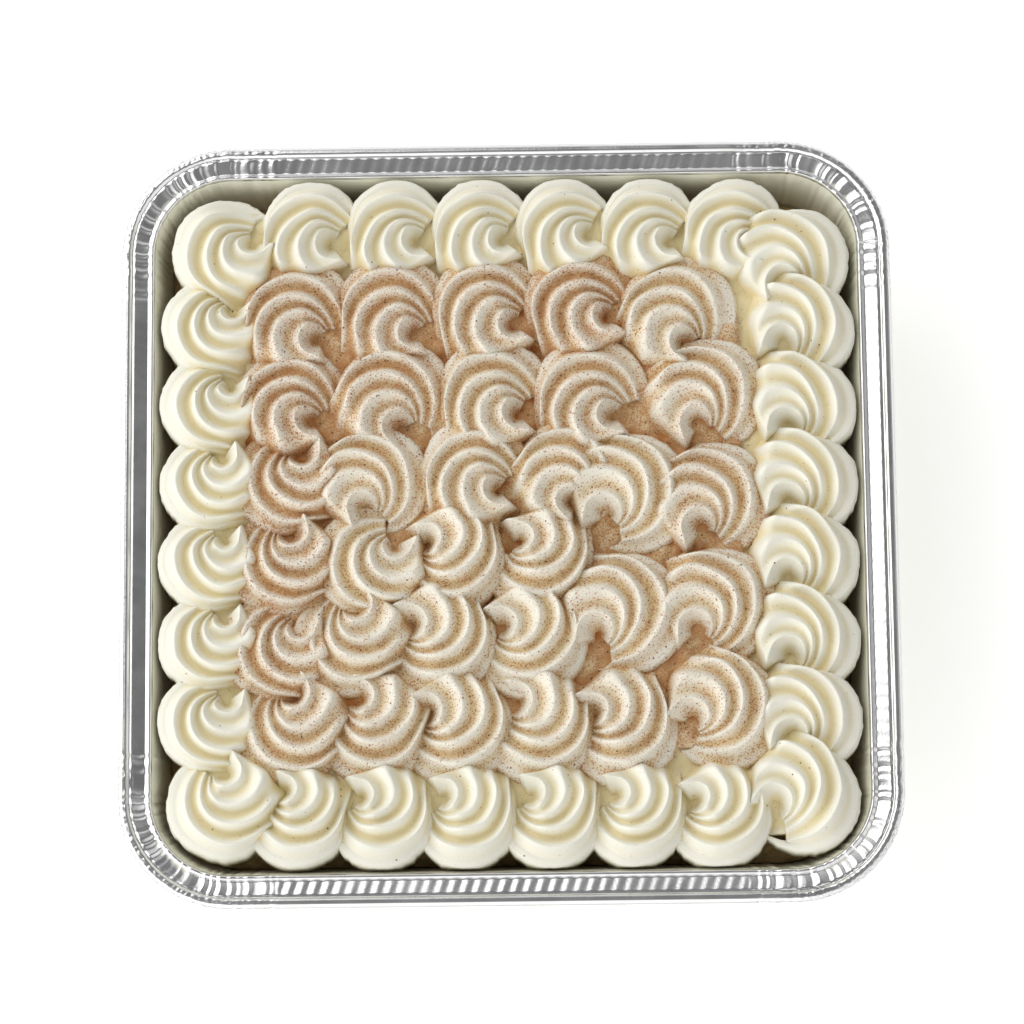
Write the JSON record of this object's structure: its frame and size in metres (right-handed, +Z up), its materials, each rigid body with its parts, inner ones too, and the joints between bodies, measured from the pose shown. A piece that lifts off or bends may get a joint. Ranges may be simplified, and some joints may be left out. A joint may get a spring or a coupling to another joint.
{
  "type": "tres leches cake in a square foil tray",
  "caption": "Square milk-soaked sponge cake in a rolled-rim foil tray, covered with piped whipped-cream swirls, the inner ones dusted with cinnamon.",
  "frame": {"origin": "middle of the tray's underside, on the surface that it stands on", "axes": "+Z up, +X to the right and +Y away from the viewer in the picture"},
  "size_m": [0.206, 0.206, 0.0539],
  "materials": {
    "foil": "bright rolled foil, creased at the corners",
    "sponge": "milk-soaked sponge, moist and matte",
    "cream": "whipped cream, soft satin",
    "dusted_cream": "whipped cream under ground cinnamon"
  },
  "bodies": {
    "root": {"foil_tray": "foil", "sponge_cake": "sponge", "border_cream": "cream", "dusted_cream": "dusted_cream"}
  },
  "joints": []
}
